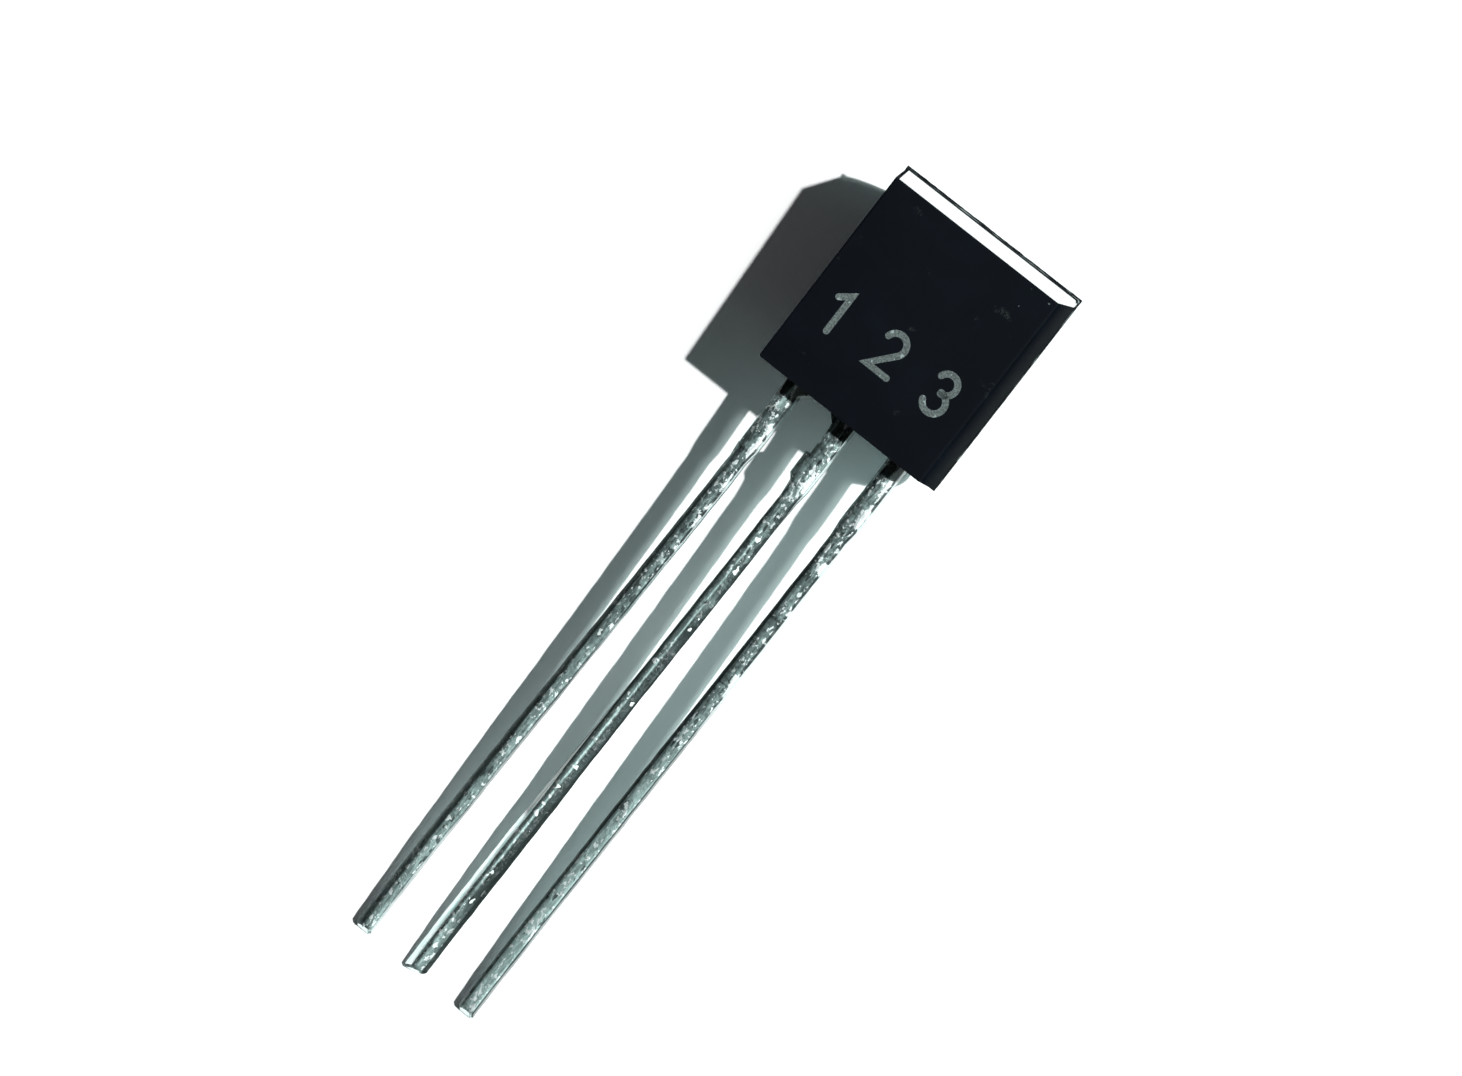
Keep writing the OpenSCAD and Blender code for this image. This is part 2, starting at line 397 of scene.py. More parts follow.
def bumped(tree, height, strength, distance):
    """Normals of a fine relief, with its depth in metres"""
    return add(tree, "ShaderNodeBump", {
        "Height": height, "Strength": strength, "Distance": distance}).outputs["Normal"]


def put_out(tree, shader):
    """Send a shader to the material's output"""
    add(tree, "ShaderNodeOutputMaterial", {"Surface": shader.outputs[0]})


FLOAT, VECTOR = "NodeSocketFloat", "NodeSocketVector"


def new_group(name, inputs, outputs):
    """An empty node group with named sockets; gives the tree, what it is given and what it gives back"""
    group = bpy.data.node_groups.new(name, "ShaderNodeTree")
    for socket, kind, default in inputs:
        made = group.interface.new_socket(socket, in_out="INPUT", socket_type=kind)
        if default is not None:
            made.default_value = default
    for socket in outputs:
        group.interface.new_socket(socket, in_out="OUTPUT", socket_type=FLOAT)
    return group, group.nodes.new("NodeGroupInput").outputs, group.nodes.new("NodeGroupOutput").inputs


def fine_grain():
    """Group: grain of a moulded or plated surface, with slow clouds over it"""
    name = "fine_grain"
    if name in bpy.data.node_groups:
        return bpy.data.node_groups[name]
    group, given, result = new_group(
        name, [("Vector", VECTOR, None), ("Grain Scale", FLOAT, 30.0), ("Cloud Scale", FLOAT, 1.0)],
        ["Grain", "Clouds"])
    grain = add(group, "ShaderNodeTexNoise", {
        "Vector": given["Vector"], "Scale": given["Grain Scale"], "Detail": 3.0, "Roughness": 0.6})
    clouds = add(group, "ShaderNodeTexNoise", {
        "Vector": given["Vector"], "Scale": given["Cloud Scale"],
        "Detail": 4.0, "Roughness": 0.55, "Distortion": 0.4})
    group.links.new(grain.outputs["Fac"], result["Grain"])
    group.links.new(clouds.outputs["Fac"], result["Clouds"])
    return group


def loose_specks():
    """Group: sparse specks of uneven shape, as dust or bright grains"""
    name = "loose_specks"
    if name in bpy.data.node_groups:
        return bpy.data.node_groups[name]
    group, given, result = new_group(
        name, [("Vector", VECTOR, None), ("Scale", FLOAT, 3.0), ("Size", FLOAT, 0.08), ("Share", FLOAT, 0.4)],
        ["Specks"])
    vector, scale = given["Vector"], given["Scale"]
    # Uneven shapes: the coordinates drift by a share of a cell
    drift = add(group, "ShaderNodeTexNoise", {
        "Vector": vector, "Scale": times(group, scale, 1.8), "Detail": 1.0})
    centred = add(group, "ShaderNodeVectorMath", {
        0: drift.outputs["Color"], 1: (0.5, 0.5, 0.5)}, operation="SUBTRACT")
    shifted = add(group, "ShaderNodeVectorMath", {
        0: centred.outputs[0], "Scale": maths(group, "DIVIDE", 0.9, scale)}, operation="SCALE")
    warped = add(group, "ShaderNodeVectorMath", {0: vector, 1: shifted.outputs[0]}, operation="ADD")
    cells = add(group, "ShaderNodeTexVoronoi", {"Vector": warped.outputs[0], "Scale": scale}).outputs
    chance = add(group, "ShaderNodeSeparateColor", {"Color": cells["Color"]}).outputs
    picked = maths(group, "LESS_THAN", chance[0], given["Share"])
    size = times(group, chance[1], given["Size"])
    inside = maths(group, "LESS_THAN", cells["Distance"], size)
    group.links.new(times(group, picked, inside), result["Specks"])
    return group


def grainy(tree, grain_scale, cloud_scale, stretch=(1.0, 1.0, 1.0)):
    """Lay the fine grain over the part; gives its grain and its clouds"""
    made = add(tree, "ShaderNodeGroup", {
        "Vector": part_coordinates(tree, stretch), "Grain Scale": grain_scale, "Cloud Scale": cloud_scale,
    }, node_tree=fine_grain())
    return made.outputs["Grain"], made.outputs["Clouds"]


def speckled(tree, scale, size, share, stretch=(1.0, 1.0, 1.0)):
    """Lay loose specks over the part; gives their mask"""
    return add(tree, "ShaderNodeGroup", {
        "Vector": part_coordinates(tree, stretch), "Scale": scale, "Size": size, "Share": share,
    }, node_tree=loose_specks()).outputs["Specks"]


# Resin

def flat_half_width(case):
    """Half of the flat face's width, in millimetres"""
    return (case.width / 2 - case.front_depth * math.tan(case.side_draft)) * MM


def resin_surface(tree, finishes):
    """Colour, roughness and normal of the moulded resin, and masks of its walls and how far out they are"""
    case = bpy.context.scene.tr_case
    grain, clouds = grainy(tree, 34.0, 0.9)
    smear_grain, smears = grainy(tree, 5.0, 1.1, (1.5, 2.6, 2.0))
    dust = speckled(tree, 2.3, 0.07, 0.5)
    cloudy = spread(tree, clouds, 0.42, 0.75)
    tone = mix(tree, cloudy, colour(finishes.resin), colour(finishes.resin, 1.35))
    scuff = times(tree, spread(tree, smears, 0.66, 0.74), spread(tree, grain, 0.5, 0.56))
    tone = mix(tree, scuff, tone, colour(finishes.mark, 0.22))
    fuzzy = times(tree, dust, spread(tree, smear_grain, 0.4, 0.55))
    tone = mix(tree, fuzzy, tone, colour(finishes.mark, 0.8))
    # The side walls are dull next to the flat; towards the parting line, pale grain specks paint the light
    # that the rounded outer walls catch
    axes = part_axes(tree)
    on_wall, outward = wall_masks(tree, case, axes["X"])
    wall_grain_and_light = times(tree, outward, spread(tree, grain, 0.46, 0.58))
    tone = mix(tree, times(tree, on_wall, wall_grain_and_light), tone, colour(finishes.mark, 0.08))
    # Pale chips along the parting line at the closed end
    length = case.length * MM
    chip_grain, _ = grainy(tree, 3.4, 2.2, (0.6, 1.0, 4.0))
    low_strip = times(tree, spread(tree, axes["Z"], 0.02, 0.03), spread(tree, axes["Z"], 0.13, 0.09))
    chipped = times(tree, spread(tree, axes["Y"], length - 0.09, length - 0.08), low_strip,
                    spread(tree, chip_grain, 0.53, 0.62, 0.0, 0.85))
    tone = mix(tree, chipped, tone, colour(finishes.mark, 2.8))
    rough = spread(tree, clouds, 0.3, 0.7, 0.62, 0.74)
    return tone, rough, bumped(tree, grain, 0.3, 0.000003), on_wall, outward


def wall_masks(tree, case, sideways):
    """Masks of the side walls, and of how far out on them a point is"""
    flat_half = flat_half_width(case)
    across = maths(tree, "ABSOLUTE", sideways, 0.0)
    on_wall = spread(tree, across, flat_half - 0.01, flat_half + 0.01)
    return on_wall, spread(tree, across, flat_half + 0.03, case.width / 2 * MM)


def case_resin():
    """Dull black epoxy moulding compound, dullest on the walls next to the flat"""
    material, tree = new_material("case_resin")
    tone, rough, normal, on_wall, outward = resin_surface(tree, bpy.context.scene.tr_finishes)
    gloss = mix(tree, on_wall, grey(0.04), mix(tree, outward, grey(0.0), grey(0.02)))
    put_out(tree, add(tree, "ShaderNodeBsdfPrincipled", {
        "Base Color": tone, "Roughness": rough, "Normal": normal, "IOR": 1.5, "Specular IOR Level": gloss}))
    return material


def closed_end_resin():
    """The polished end wall of the mould: black, with a mirror's gloss at a low angle"""
    material, tree = new_material("closed_end_resin")
    tone, rough, normal, _, _ = resin_surface(tree, bpy.context.scene.tr_finishes)
    body = add(tree, "ShaderNodeBsdfPrincipled", {
        "Base Color": tone, "Roughness": rough, "Normal": normal, "IOR": 1.5, "Specular IOR Level": 0.1})
    gloss = add(tree, "ShaderNodeBsdfAnisotropic", {"Color": grey(0.98), "Roughness": 0.12})
    facing = add(tree, "ShaderNodeLayerWeight", {"Blend": 0.5}).outputs["Facing"]
    put_out(tree, add(tree, "ShaderNodeMixShader", {
        "Fac": spread(tree, facing, 0.3, 0.5), 1: body.outputs["BSDF"], 2: gloss.outputs["BSDF"]}))
    return material


def flash_resin():
    """Rough torn edge of the flash"""
    finishes = bpy.context.scene.tr_finishes
    material, tree = new_material("flash_resin")
    grain, clouds = grainy(tree, 18.0, 3.0)
    torn = spread(tree, clouds, 0.56, 0.66)
    put_out(tree, add(tree, "ShaderNodeBsdfPrincipled", {
        "Base Color": mix(tree, torn, colour(finishes.resin), colour(finishes.mark, 1.1)),
        "Roughness": 0.7, "Normal": bumped(tree, grain, 0.8, 0.00001), "Specular IOR Level": 0.2}))
    return material


def mark_ink():
    """Pale etched marks, broken up where the resin shows through"""
    finishes = bpy.context.scene.tr_finishes
    material, tree = new_material("mark_ink")
    grain, _ = grainy(tree, 26.0, 9.0)
    worn = spread(tree, grain, 0.42, 0.6)
    tone = mix(tree, worn, colour(finishes.mark, 0.62), colour(finishes.mark, 1.25))
    tone = mix(tree, speckled(tree, 9.0, 0.4, 0.4), tone, colour(finishes.mark, 2.4))
    put_out(tree, add(tree, "ShaderNodeBsdfPrincipled", {
        "Base Color": tone, "Roughness": 0.75, "Specular IOR Level": 0.15}))
    return material


# Tin

# Stretches of the leads over which a look changes, from its first value to its last, in millimetres:
# 0 is at the case, and the tips are below zero
PALER = (-5.2, -7.5)
PALEST = (-7.0, -11.0)
LIT_EDGE_GROWS = (-7.5, -5.5)
OUTLINED = (-5.6, -6.6)
ROOT_OUTLINED = (-6.6, -5.6)
ROLL_FADES = (-9.0, -12.0)
TWIST_STARTS = (-1.6, -2.0)
TWIST_SHADE_GROWS = (-1.9, -5.2)
TWIST_SHADE_CLEARS = (-13.0, -12.0)
WALL_SHADE_GROWS = (-5.6, -6.8)
WALL_MIRRORS = (-10.1, -9.9)
WALL_ROOT_SHADE = (-0.36, -0.28)
TOP_ROOT_SHADE = (-0.15, -0.1)
# Scales of the plating's grain and clouds
PLATING_SCALES = (11.0, 2.4)

# A place on the leads: distance along them, sideways from a lead's middle and from the part's middle as if
# they were straight, and masks of the middle lead and the collector
LeadPlace = namedtuple("LeadPlace", "along across straight middle collector")


def lead_place(tree, leads):
    """Values that follow the leads through their sideways bend"""
    pitch = leads.pitch * MM
    axes = part_axes(tree)
    bent = add(tree, "ShaderNodeMapRange", {
        "Value": axes["Y"], "From Min": -0.3, "From Max": -leads.length * MM,
        "To Min": 0.0, "To Max": leads.sideways * MM}, interpolation_type="SMOOTHSTEP").outputs["Result"]
    straight = plus(tree, axes["X"], bent)
    across = add(tree, "ShaderNodeMath", {0: straight, 1: pitch / 2, 2: -pitch / 2},
                 operation="WRAP").outputs[0]
    middle = maths(tree, "LESS_THAN", maths(tree, "ABSOLUTE", straight, 0.0), pitch / 2)
    collector = maths(tree, "GREATER_THAN", straight, pitch / 2)
    # The collector is bent a quarter less than the middle lead
    across = maths(tree, "SUBTRACT", across, times(tree, collector, times(tree, bent, 0.25)))
    return LeadPlace(axes["Y"], across, straight, middle, collector)


def root_edge_shade(tree, place, clouds):
    """Mask of the broken line of painted shade at the right of the leads' wide roots"""
    leads = bpy.context.scene.tr_leads
    root = -leads.root_length * MM
    half = spread(tree, place.along, root - TAPER, root, leads.width / 2 * MM, leads.root_width / 2 * MM)
    edge = maths(tree, "SUBTRACT", place.across, half)
    near_half = spread(tree, place.along, *ROOT_OUTLINED, 0.0, 0.9)
    broken = times(tree, spread(tree, clouds, 0.56, 0.51), near_half)
    upper = spread(tree, part_axes(tree)["Z"], 0.07, 0.14)
    return times(tree, broken, upper, spread(tree, edge, -0.055, -0.04))


def drawn_tin(tree, tin, grain, clouds, streaks, streak_clouds):
    """Colour of the mottled plating with its pale streaks and fine lines; gives the streaks' mask as well"""
    mottled = spread(tree, grain, 0.34, 0.66, 0.0, 0.55)
    drawn = spread(tree, streaks, 0.36, 0.64, 0.0, 0.45)
    tone = mix(tree, plus(tree, mottled, drawn), colour(tin, 0.14), colour(tin, 1.3))
    tone = mix(tree, spread(tree, streak_clouds, 0.56, 0.68, 0.0, 0.7), tone, colour(tin, 1.7))
    tone = mix(tree, spread(tree, clouds, 0.5, 0.36, 0.0, 0.6), tone, colour(tin, 0.3))
    _, handling = grainy(tree, 9.0, 1.6, (0.2, 2.2, 0.2))
    return mix(tree, spread(tree, handling, 0.68, 0.71, 0.0, 0.7), tone, colour(tin, 0.15)), drawn


def worn_tin_and_highlights(tree, place, root, grain, clouds, streak_clouds):
    """Masks of worn bright tin and painted highlights, most on the roots and towards a lead's lit right edge,
    with bright grains painted as glints, and of the roots
    """
    across = place.across
    near_root = spread(tree, place.along, root * 1.9, root * 0.8)
    # Painted highlight towards the lit right edge over the lead's near half, and leaning right on the roots
    near_half = spread(tree, place.along, *LIT_EDGE_GROWS, 0.15, 1.0)
    lit_edge = times(tree, near_half, spread(tree, across, 0.05, 0.15, 0.0, 0.15))
    lean = times(tree, spread(tree, across, -0.06, 0.2), spread(tree, near_root, 0.0, 1.0, 0.07, 0.2))
    lean = times(tree, plus(tree, lean, lit_edge), spread(tree, place.middle, 0.0, 1.0, 1.0, 0.3))
    # Worn bright tin at random, with the painted highlight added to it
    worn = plus(tree, clouds, lean, times(tree, grain, 0.4), times(tree, streak_clouds, 0.15))
    # Bright grains painted as glints of the key light
    fleck_grain, crowd = grainy(tree, 15.0, 3.2, (1.0, 0.6, 1.0))
    glint_flecks = plus(tree, fleck_grain, times(tree, crowd, 0.5))
    return most(tree, spread(tree, worn, 0.995, 1.02), spread(tree, glint_flecks, 0.85, 0.88)), near_root


def painted_twist_shading(tree, place, tone, tin, streaks):
    """The twisted middle lead: painted shade on its right, a thin painted highlight beside that, and lighter
    painted shade on its left
    """
    along, across = place.along, place.across
    reach = times(tree, place.middle, times(
        tree, spread(tree, along, *TWIST_SHADE_GROWS, 0.35, 1.0), spread(tree, along, *TWIST_SHADE_CLEARS),
        spread(tree, along, *TWIST_STARTS)))
    right_facet_shade = times(tree, reach, spread(tree, across, 0.02, 0.045), 0.85)
    tone = mix(tree, right_facet_shade, tone, colour(tin, 0.1))
    thin = times(tree, spread(tree, across, -0.02, 0.0), spread(tree, across, 0.025, 0.01))
    ridge_highlight = times(tree, reach, thin, spread(tree, streaks, 0.4, 0.5))
    tone = mix(tree, ridge_highlight, tone, colour(tin, 1.7))
    # Lighter painted shade on the left facet
    left = times(tree, reach, spread(tree, across, 0.0, -0.02, 0.0, 0.5))
    return mix(tree, left, tone, colour(tin, 0.45))


def painted_edge_shade(tree, place, root, clouds):
    """Mask of painted shade on the rolled edge at the left, widest on the emitter, and of a thin line of
    painted shade at the right
    """
    along, across = place.along, place.across
    emitter = maths(tree, "LESS_THAN", place.straight, -bpy.context.scene.tr_leads.pitch / 2 * MM)
    shift = times(tree, plus(tree, emitter, times(tree, place.collector, 0.5)), -0.035)
    # Painted shade on the rolled left edge
    rolled = times(
        tree, spread(tree, plus(tree, across, shift), -0.09, -0.115),
        spread(tree, along, root, root * 1.6, 0.35, 0.9), spread(tree, along, *ROLL_FADES, 1.0, 0.85))
    # A thin line of painted shade at the right edge
    outline = times(tree, spread(tree, across, 0.15, 0.165), spread(tree, along, *OUTLINED, 0.0, 0.9))
    return most(tree, rolled, most(tree, outline, root_edge_shade(tree, place, clouds)))


def tinned_lead():
    """Dull grey tin plating: mottled and drawn, with worn bright tin on the roots, painted highlights and
    glints, and painted shade on the edges, the twist and next to the case
    """
    scene = bpy.context.scene
    tin, bright_tin_and_highlight = scene.tr_finishes.tin, colour(scene.tr_finishes.bright_tin_and_highlight)
    root = -scene.tr_leads.root_length * MM
    material, tree = new_material("tinned_lead")
    place = lead_place(tree, scene.tr_leads)
    along, collector = place.along, place.collector
    grain, clouds = grainy(tree, *PLATING_SCALES)
    streaks, streak_clouds = grainy(tree, 17.0, 6.0, (1.0, 0.14, 1.0))
    tone, drawn = drawn_tin(tree, tin, grain, clouds, streaks, streak_clouds)
    # Paler towards the tips, the collector most of all
    far = times(tree, spread(tree, along, *PALER, 0.0, 0.4), spread(tree, drawn, 0.0, 0.45, 0.4, 1.0))
    tone = mix(tree, far, tone, colour(tin, 1.6))
    farthest = times(tree, collector, spread(tree, along, *PALEST, 0.0, 0.55),
                     spread(tree, drawn, 0.0, 0.45, 0.6, 1.0))
    tone = mix(tree, farthest, tone, colour(tin, 2.0))
    # Dark pits, then painted glints, and worn bright tin with painted highlights towards the roots and right
    # edges
    pits = speckled(tree, 8.0, 0.45, 0.55, (1.1, 0.45, 1.1))
    tone = mix(tree, times(tree, pits, 0.75), tone, colour(tin, 0.12))
    bright, near_root = worn_tin_and_highlights(tree, place, root, grain, clouds, streak_clouds)
    glints = times(
        tree, speckled(tree, 10.0, 0.42, 0.55, (1.0, 0.6, 1.0)),
        spread(tree, place.across, -0.06, 0.06, 0.0, 0.85), spread(tree, collector, 0.0, 1.0, 0.5, 1.0),
        spread(tree, near_root, 0.0, 1.0, 1.0, 0.3))
    tone = mix(tree, glints, tone, bright_tin_and_highlight)
    tone = mix(tree, bright, tone, bright_tin_and_highlight)
    # The twist's painted shade and highlight, comma-shaped grains painted as glints over them, and painted
    # shade on the edges
    tone = painted_twist_shading(tree, place, tone, tin, streaks)
    tone = mix(tree, speckled(tree, 6.0, 0.38, 0.65, (1.0, 0.7, 1.0)), tone, bright_tin_and_highlight)
    tone = mix(tree, painted_edge_shade(tree, place, root, clouds), tone, colour(tin, 0.14))
    # Painted shade next to the case, with a broken edge, over the case's own cast shadow
    ragged = times(tree, plus(tree, clouds, streaks), 0.3)
    painted_root_shade = times(tree, spread(tree, plus(tree, along, ragged), *TOP_ROOT_SHADE, 0.0, 0.8),
                 spread(tree, streak_clouds, 0.62, 0.54))
    tone = mix(tree, painted_root_shade, tone, colour(tin, 0.03))
    height = plus(tree, grain, times(tree, streaks, 0.8), times(tree, clouds, 2.0))
    put_out(tree, add(tree, "ShaderNodeBsdfPrincipled", {
        "Base Color": tone, "Metallic": 1.0, "Roughness": spread(tree, clouds, 0.36, 0.64, 0.64, 0.52),
        "Normal": bumped(tree, height, 0.7, 0.000012)}))
    return material


def sheared_tin():
    """The smoother sides and ends that the stamping tool sheared, and the underside: nearly a mirror, with
    painted shade on some walls and the roots
    """
    scene = bpy.context.scene
    tin = scene.tr_finishes.tin
    material, tree = new_material("sheared_tin")
    place = lead_place(tree, scene.tr_leads)
    along, across = place.along, place.across
    twisted = times(tree, place.middle, spread(tree, along, *TWIST_STARTS))
    # Painted shade on the right walls towards the tips, and on the middle lead's right wall from its twist on
    right = times(tree, most(tree, spread(tree, along, *WALL_SHADE_GROWS), twisted),
                  spread(tree, across, 0.1, 0.14, 0.0, 0.95))
    # Painted shade on the middle lead's left wall, which mirrors only near the tip
    left_wall_shade = times(tree, spread(tree, along, *WALL_MIRRORS), spread(tree, across, -0.1, -0.14, 0.0, 0.9))
    left = times(tree, place.middle, left_wall_shade)
    # Broken painted shade on the roots, and painted shade next to the case
    _, clouds = grainy(tree, *PLATING_SCALES)
    painted_wall_shade = most(tree, right, left, root_edge_shade(tree, place, clouds),
                spread(tree, along, *WALL_ROOT_SHADE, 0.0, 0.95))
    grain, wall_clouds = grainy(tree, 12.0, 3.0, (1.0, 0.3, 2.0))
    tone = mix(tree, spread(tree, grain, 0.38, 0.6), colour(tin, 2.3), (0.97, 0.98, 0.98, 1.0))
    put_out(tree, add(tree, "ShaderNodeBsdfPrincipled", {
        "Base Color": mix(tree, painted_wall_shade, tone, colour(tin, 0.2)), "Metallic": 1.0,
        "Roughness": spread(tree, wall_clouds, 0.35, 0.65, 0.3, 0.12),
        "Normal": bumped(tree, grain, 0.3, 0.000004)}))
    return material


# Other finishes

def plain_metal(name, base, rough, grain_scale, strength):
    """Grainy metal for the small pieces inside the resin"""
    material, tree = new_material(name)
    grain, clouds = grainy(tree, grain_scale, 5.0)
    put_out(tree, add(tree, "ShaderNodeBsdfPrincipled", {
        "Base Color": mix(tree, clouds, colour(base, 0.8), colour(base, 1.1)), "Metallic": 1.0,
        "Roughness": spread(tree, grain, 0.3, 0.7, *rough),
        "Normal": bumped(tree, grain, strength, 0.000003)}))
    return material


def floor_white():
    """Pale stage floor, a little paler to the camera"""
    scene = bpy.context.scene
    floor = scene.tr_finishes.floor
    material, tree = new_material("floor_white")
    seen = add(tree, "ShaderNodeLightPath").outputs["Is Camera Ray"]
    tone = mix(tree, seen, colour(floor), colour(floor, scene.tr_stage.floor_gain))
    put_out(tree, add(tree, "ShaderNodeBsdfDiffuse", {"Color": tone}))
    return material


# Case

# Limits of the polished faces' normals: upwards at most, to the closed end or to the right at least, and
# for those on the right no farther back towards the lead end than the last
POLISHED = {"up": 0.6, "end": 0.5, "right": 0.2, "back": -0.1}
# Edges of the case that bend more than this are rounded
CASE_CORNER = math.radians(25)
# Flash: how deep it starts inside the case in millimetres, how much of its full width is left at the
# closed end, elsewhere and at the least, how unevenly it is torn, and how far it waves up and down
FLASH = {"inside": 0.08, "at_end": 0.35, "elsewhere": 0.25, "least": 0.05, "tear": 0.7, "wave": 0.01}


def polish_edge(case):
    """A point and the normal of the plane that bounds the polish on the side walls"""
    top = case.length - case.front_depth * math.tan(case.top_slope)
    at_parting = Vector((0, (case.length - case.polish_run) * MM, 0))
    at_flat = Vector((0, top * MM, case.front_depth * MM))
    return at_parting, Vector((1, 0, 0)).cross(at_parting - at_flat).normalized()


def left_corner(case):
    """A point and the normal of the plane that bounds the polish at the left of the closed end"""
    inside = Vector(((case.dark_corner - case.width / 2) * MM, 0, 0))
    return inside, Vector((-math.cos(case.side_draft), 0, math.sin(case.side_draft)))


def shape_case(case):
    """The case's body: a section pushed along the leads, with its ends leaned in"""
    radius = case.width / 2 * MM
    length = case.length * MM
    depth = case.front_depth * MM
    flat_half = flat_half_width(case)
    bm = bmesh.new()
    # Section in the X-Z plane: the round back, then the flat
    steps = 72
    turns = [math.pi * i / steps for i in range(steps + 1)]
    section = [(radius * math.cos(turn), -radius * math.sin(turn)) for turn in turns]
    section += [(-flat_half, depth), (flat_half, depth)]
    face = bm.faces.new([bm.verts.new((x, 0, z)) for x, z in section])
    made = bmesh.ops.extrude_face_region(bm, geom=[face], use_keep_orig=True)
    bmesh.ops.translate(bm, verts=new_corners(made), vec=(0, length, 0))
    cut_through(bm, (0, 0, 0), (0, 0, 1))
    bmesh.ops.remove_doubles(bm, verts=bm.verts, dist=WELD)
    for v in bm.verts:
        closed_end = v.co.y > length / 2
        if v.co.z > 0:
            lean = v.co.z * math.tan(case.top_slope if closed_end else case.lead_end_draft)
        else:
            lean = -v.co.z * math.tan(case.back_draft)
        v.co.y += -lean if closed_end else lean
    bmesh.ops.recalc_face_normals(bm, faces=bm.faces)
    return bm


def scratch_object(name, bm):
    """A passing object made of a mesh in millimetres"""
    mesh = bpy.data.meshes.new(name)
    bm.to_mesh(mesh)
    bm.free()
    made = bpy.data.objects.new(name, mesh)
    bpy.context.scene.collection.objects.link(made)
    return made


def cut_ejector_mark(bm, case):
    """Sink the ejector pin's round mark into the crown of the back"""
    pin = bmesh.new()
    radius = case.ejector_width / 2 * MM
    bmesh.ops.create_cone(
        pin, cap_ends=True, segments=64, radius1=radius, radius2=radius, depth=2 * case.ejector_depth * MM)
    bmesh.ops.translate(pin, verts=pin.verts, vec=(0, case.length / 2 * MM, -case.width / 2 * MM))
    body, tool = scratch_object("body", bm), scratch_object("ejector_pin", pin)
    cut = body.modifiers.new("Ejector mark", "BOOLEAN")
    cut.operation = "DIFFERENCE"
    cut.solver = "EXACT"
    cut.object = tool
    bpy.context.view_layer.update()
    solid = body.evaluated_get(bpy.context.evaluated_depsgraph_get())
    marked = bmesh.new()
    marked.from_mesh(solid.to_mesh())
    solid.to_mesh_clear()
    for made in (body, tool):
        mesh = made.data
        bpy.data.objects.remove(made)
        bpy.data.meshes.remove(mesh)
    return marked


def split_faces(bm, faces, point, normal):
    """Split some faces along a plane"""
    edges = {e for f in faces for e in f.edges}
    verts = {v for f in faces for v in f.verts}
    bmesh.ops.bisect_plane(
        bm, geom=faces + list(edges) + list(verts), plane_co=point, plane_no=normal)


def round_case(bm, case):
    """Bound the polish on the closed end, and round the outer edges"""
    bm.normal_update()
    walls = [f for f in bm.faces if abs(f.normal.x) > SQUARE_ON and f.calc_center_median().z > 0]
    split_faces(bm, walls, *polish_edge(case))
    for point, normal in (((0, 0, case.polish_start * MM), (0, 0, 1)), left_corner(case)):
        end = [f for f in bm.faces if f.normal.y > SQUARE_ON and f.calc_center_median().z > 0]
        split_faces(bm, end, point, normal)
    middle = Vector((0, case.length / 2 * MM))
    sharp = [e for e in bm.edges
             if e.calc_face_angle(0) > CASE_CORNER
             and max(abs(v.co.z) for v in e.verts) > LEVEL
             and max((v.co.xy - middle).length for v in e.verts) > case.ejector_width * MM]
    round_edges(bm, sharp, case.edge_radius * MM, 4)
    return bm


def paint_closed_end(piece, case):
    """Give the front half's closed end its polished finish"""
    back = rest_place().inverted()
    turn = back.to_3x3().normalized()
    edge, outward = polish_edge(case)
    corner, leftward = left_corner(case)
    for polygon in piece.data.polygons:
        centre = back @ polygon.center
        normal = turn @ polygon.normal
        above = centre.z > case.polish_start * MM and normal.z < POLISHED["up"]
        on_end = normal.y > POLISHED["end"] and (centre - corner).dot(leftward) < 0
        rightward = normal.x > POLISHED["right"] and normal.y > POLISHED["back"]
        on_wall = rightward and (centre - edge).dot(outward) > 0
        if above and (on_end or on_wall):
            polygon.material_index = 1


def side_of(offset, reach):
    """Which side of the middle a point on the rim is, or 0 when it is nearer than the rim"""
    return math.copysign(1, offset) if abs(offset) > reach - WELD else 0


def shape_flash(case):
    """A thin torn fin of resin all round the parting line"""
    middle = Vector((0, case.length / 2 * MM, 0))
    wide = case.width / 2 * MM - FLASH["inside"]
    long = case.length / 2 * MM - FLASH["inside"]
    bm = bmesh.new()
    bmesh.ops.create_grid(bm, x_segments=1, y_segments=1, size=1)
    for v in bm.verts:
        v.co = middle + Vector((v.co.x * wide, v.co.y * long, 0))
    bmesh.ops.delete(bm, geom=bm.faces[:], context="FACES_ONLY")
    bmesh.ops.subdivide_edges(bm, edges=bm.edges[:], cuts=90, use_grid_fill=False)
    for v in new_corners(bmesh.ops.extrude_edge_only(bm, edges=bm.edges[:])):
        away = v.co - middle
        side = Vector((side_of(away.x, wide), side_of(away.y, long), 0))
        torn = noise.noise(v.co * 2.2) + 0.6 * noise.noise(v.co * 9.0)
        share = FLASH["at_end"] if side.y > 0 else FLASH["elsewhere"]
        left = min(max(share * (1 + FLASH["tear"] * torn), FLASH["least"]), 1.0)
        v.co += side * (FLASH["inside"] + case.flash_width * MM * left)
        v.co.z += FLASH["wave"] * noise.noise(v.co * 4.0 + Vector((7, 0, 0)))
    bmesh.ops.recalc_face_normals(bm, faces=bm.faces)
    bmesh.ops.solidify(bm, geom=bm.faces[:], thickness=case.flash_thickness * MM)
    low = sum(v.co.z for v in bm.verts) / len(bm.verts)
    bmesh.ops.translate(bm, verts=bm.verts, vec=(0, 0, -low))
    return bm


